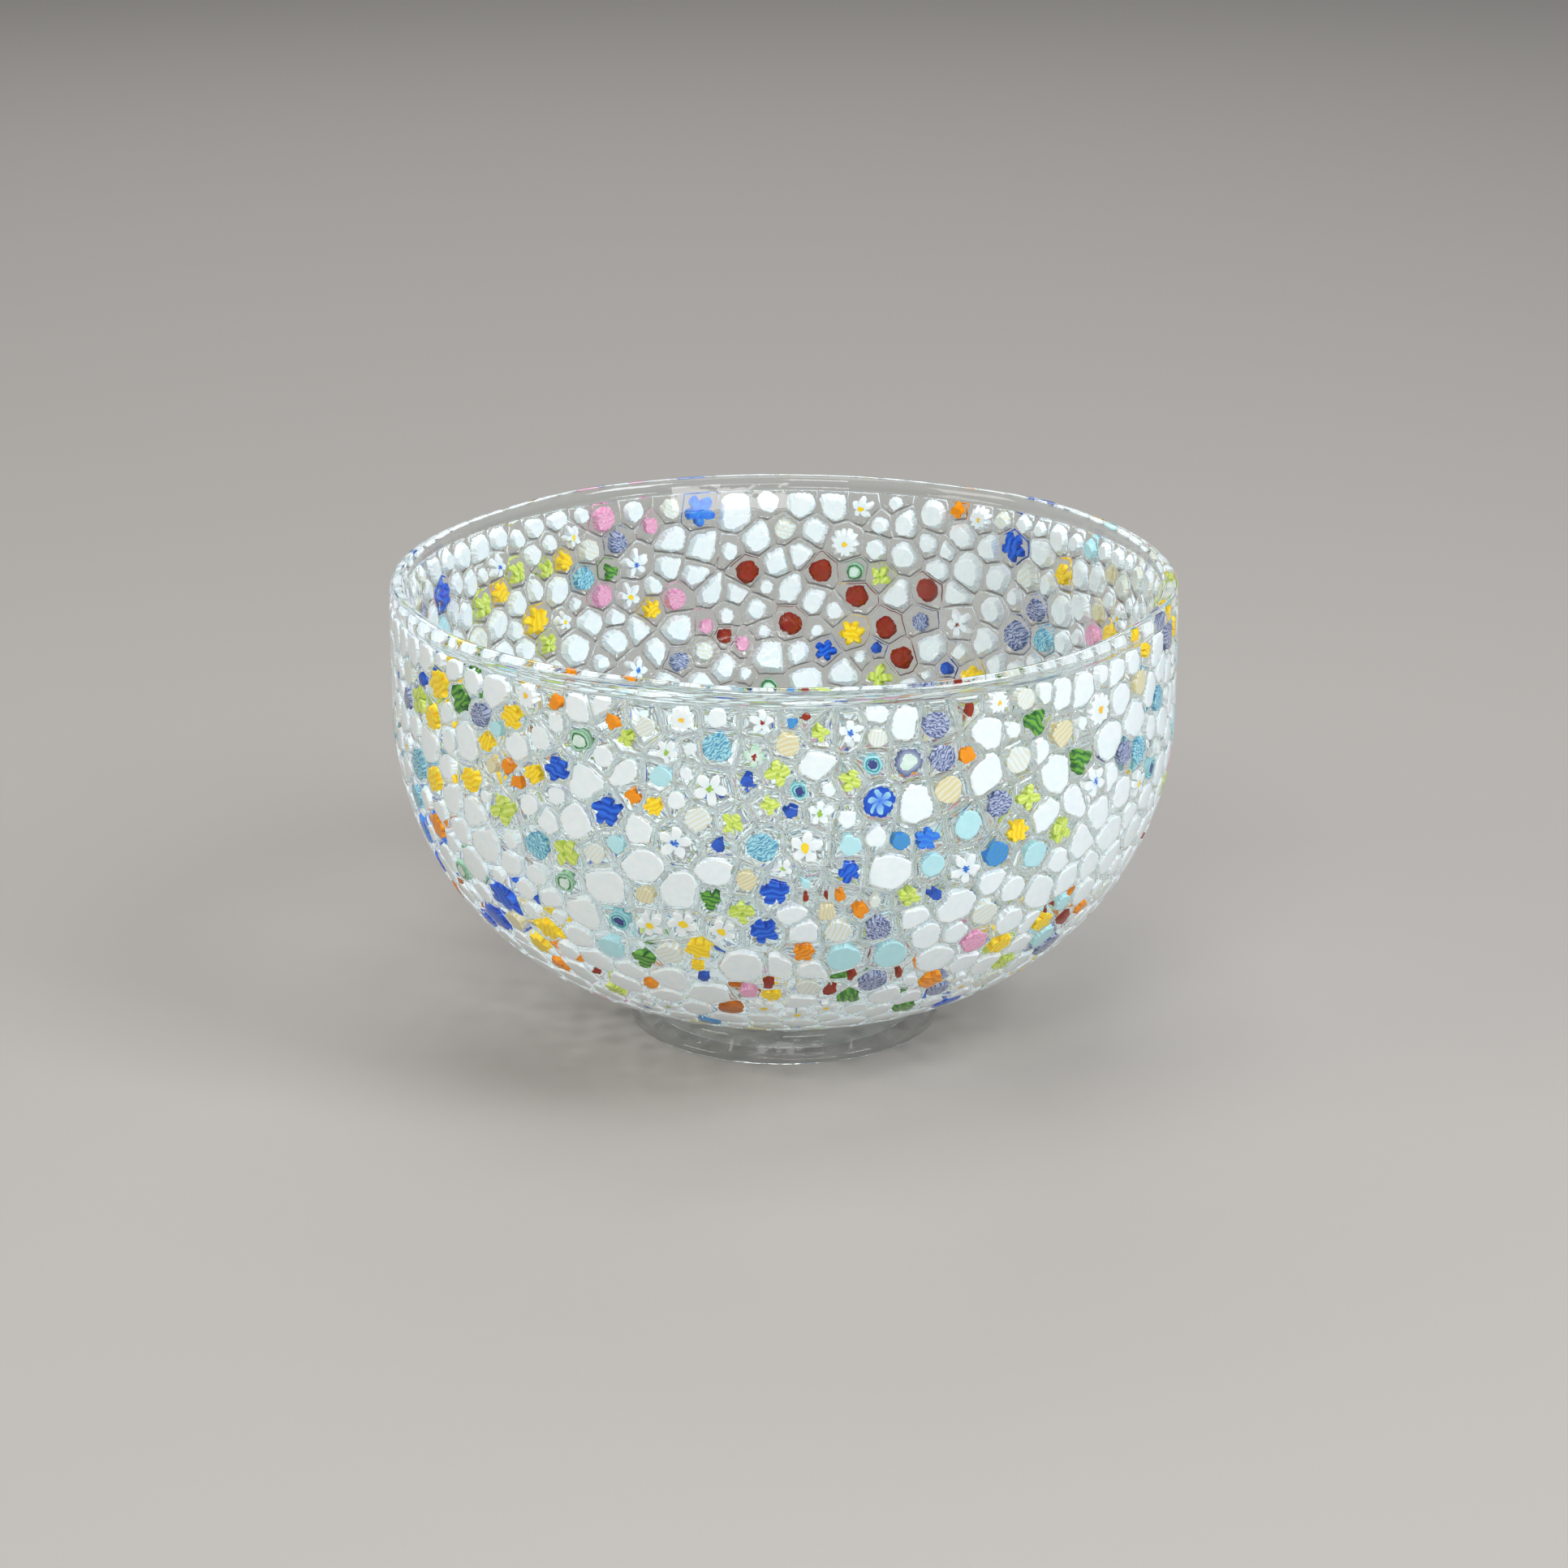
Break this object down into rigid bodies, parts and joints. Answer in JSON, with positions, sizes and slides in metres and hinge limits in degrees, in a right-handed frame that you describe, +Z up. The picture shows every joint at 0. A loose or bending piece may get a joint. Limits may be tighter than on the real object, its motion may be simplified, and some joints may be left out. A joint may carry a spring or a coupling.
{
  "type": "art glass bowl",
  "caption": "Small round footed art glass bowl: clear lining and rounded rim, wall of fused flower and disc cane slices, flared clear foot ring.",
  "frame": {"origin": "centre of the foot's resting face", "axes": "+Z up through the mouth; -Y is the front"},
  "size_m": [0.1002, 0.1002, 0.0594],
  "materials": {
    "aqua_glass": "pale aqua, glossy",
    "beige_glass": "beige, glossy",
    "brown_glass": "brown, glossy",
    "clear_glass": "fire-polished, clear and glossy",
    "cobalt_glass": "deep cobalt, glossy",
    "dark_green_glass": "dark green, glossy",
    "dark_red_glass": "dark red, glossy",
    "indigo_glass": "indigo, glossy",
    "ivory_glass": "ivory, glossy",
    "lime_glass": "lime green, glossy",
    "mid_blue_glass": "mid blue, glossy",
    "navy_glass": "navy, glossy",
    "opal_white_glass": "opal white, glossy",
    "orange_glass": "opaque orange, glossy",
    "pale_green_glass": "pale green, glossy",
    "pink_glass": "pink, glossy",
    "teal_glass": "teal, glossy",
    "yellow_glass": "opaque yellow, glossy"
  },
  "bodies": {
    "root": {"aqua_discs": "aqua_glass", "beige_discs": "beige_glass", "blue_hearts": "mid_blue_glass", "brown_discs": "brown_glass", "casings_base": "clear_glass", "casings_lower_belly": "clear_glass", "casings_rim_rows": "clear_glass", "casings_shoulder": "clear_glass", "casings_upper_belly": "clear_glass", "clear_foot": "clear_glass", "clear_lining": "clear_glass", "cobalt_blossom_petals": "cobalt_glass", "cobalt_star_rays": "cobalt_glass", "daisy_petals": "opal_white_glass", "dark_green_clovers": "dark_green_glass", "dark_green_rings": "dark_green_glass", "dark_red_bars": "dark_red_glass", "dark_red_discs": "dark_red_glass", "green_hearts": "dark_green_glass", "indigo_dots": "indigo_glass", "ivory_discs": "ivory_glass", "lime_blossom_petals": "lime_glass", "mid_blue_blossom_petals": "mid_blue_glass", "mid_blue_discs": "mid_blue_glass", "navy_discs": "navy_glass", "navy_hearts": "navy_glass", "navy_rings": "navy_glass", "opal_white_blocks": "opal_white_glass", "opal_white_rounds": "opal_white_glass", "orange_blossom_petals": "orange_glass", "orange_dots": "orange_glass", "orange_hearts": "orange_glass", "pale_green_blossom_petals": "pale_green_glass", "pale_green_hearts": "pale_green_glass", "pale_star_hearts": "aqua_glass", "pink_discs": "pink_glass", "red_brown_hearts": "brown_glass", "rim_trail": "clear_glass", "teal_discs": "teal_glass", "teal_eye_rings": "teal_glass", "white_blossom_petals": "opal_white_glass", "yellow_blossom_petals": "yellow_glass", "yellow_hearts": "yellow_glass"}
  },
  "joints": []
}
